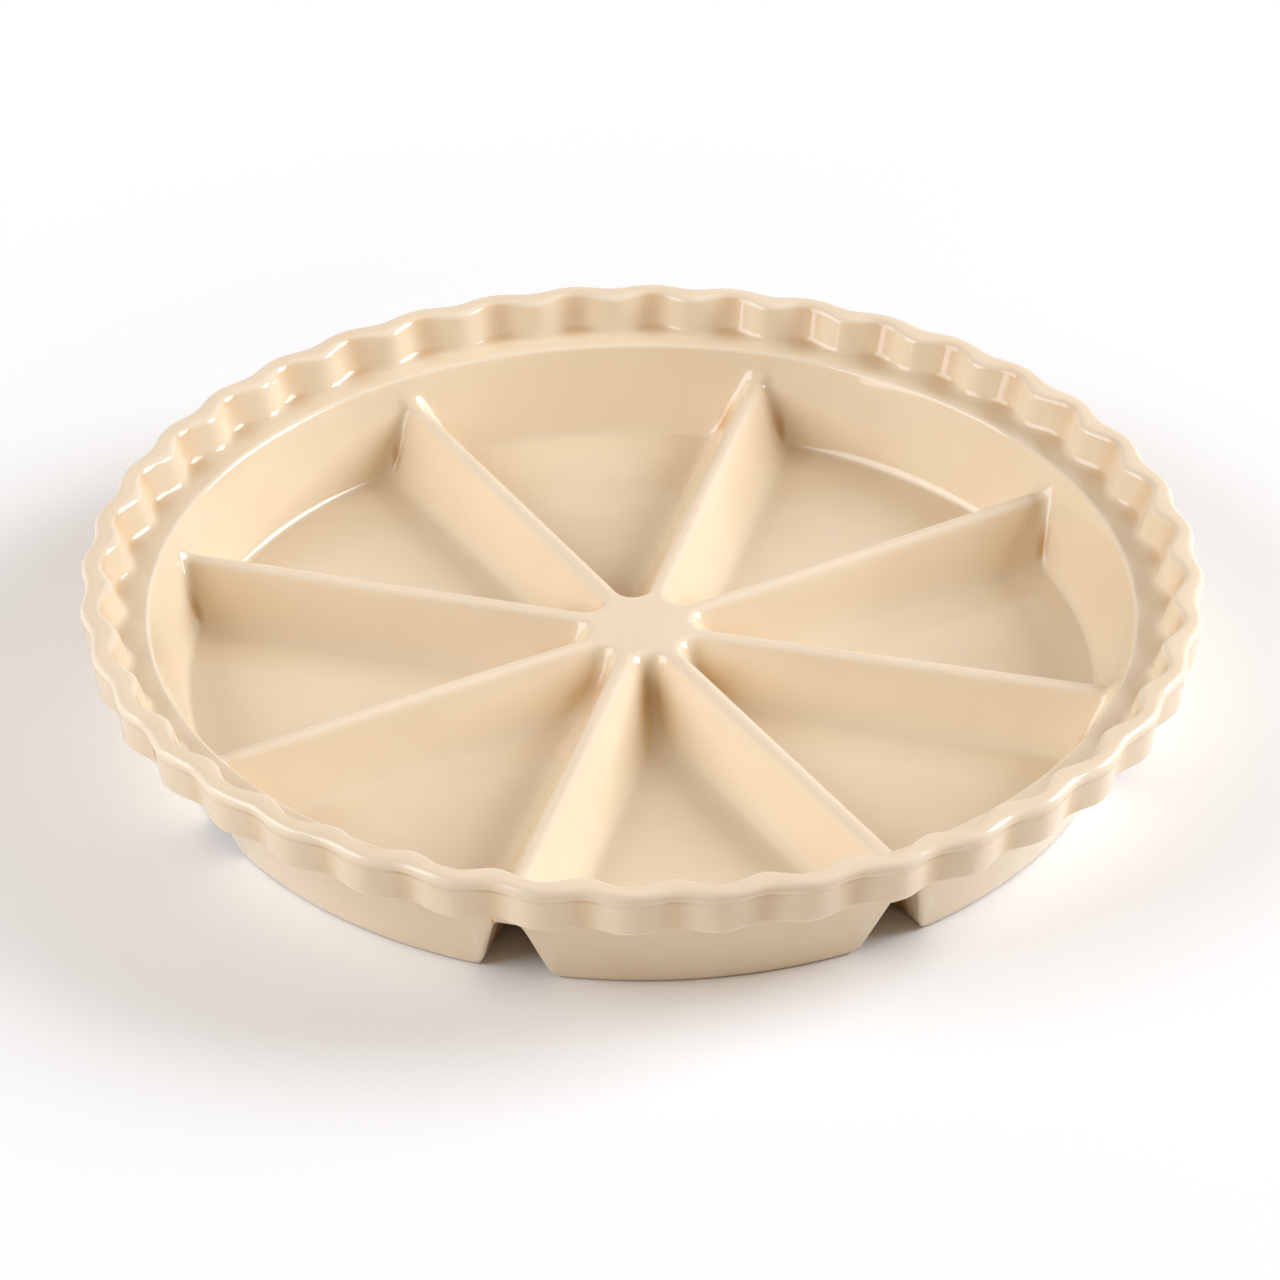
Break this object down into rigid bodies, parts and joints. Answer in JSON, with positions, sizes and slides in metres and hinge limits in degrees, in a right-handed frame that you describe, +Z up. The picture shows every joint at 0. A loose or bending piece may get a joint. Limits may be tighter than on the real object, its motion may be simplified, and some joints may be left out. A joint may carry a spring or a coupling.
{
  "type": "scone pan",
  "caption": "Round glazed stoneware baking pan with wedge-shaped wells between hollow ridges, a flat hub and a fluted rim, for baking scones or wedge shortbread.",
  "frame": {"origin": "centre of the standing plane under the hub", "axes": "+Z up along the pan's axis, +X along the middle of one ridge"},
  "size_m": [0.3044, 0.3044, 0.0446],
  "materials": {
    "cream_glaze": "smooth gloss cream glaze over stoneware, paler where it thins on edges"
  },
  "bodies": {
    "root": {"fluted_rim": "cream_glaze", "hub": "cream_glaze", "ridge_1": "cream_glaze", "well_1": "cream_glaze", "ridge_2": "cream_glaze", "well_2": "cream_glaze", "ridge_3": "cream_glaze", "well_3": "cream_glaze", "ridge_4": "cream_glaze", "well_4": "cream_glaze", "ridge_5": "cream_glaze", "well_5": "cream_glaze", "ridge_6": "cream_glaze", "well_6": "cream_glaze", "ridge_7": "cream_glaze", "well_7": "cream_glaze", "ridge_8": "cream_glaze", "well_8": "cream_glaze"}
  },
  "joints": []
}
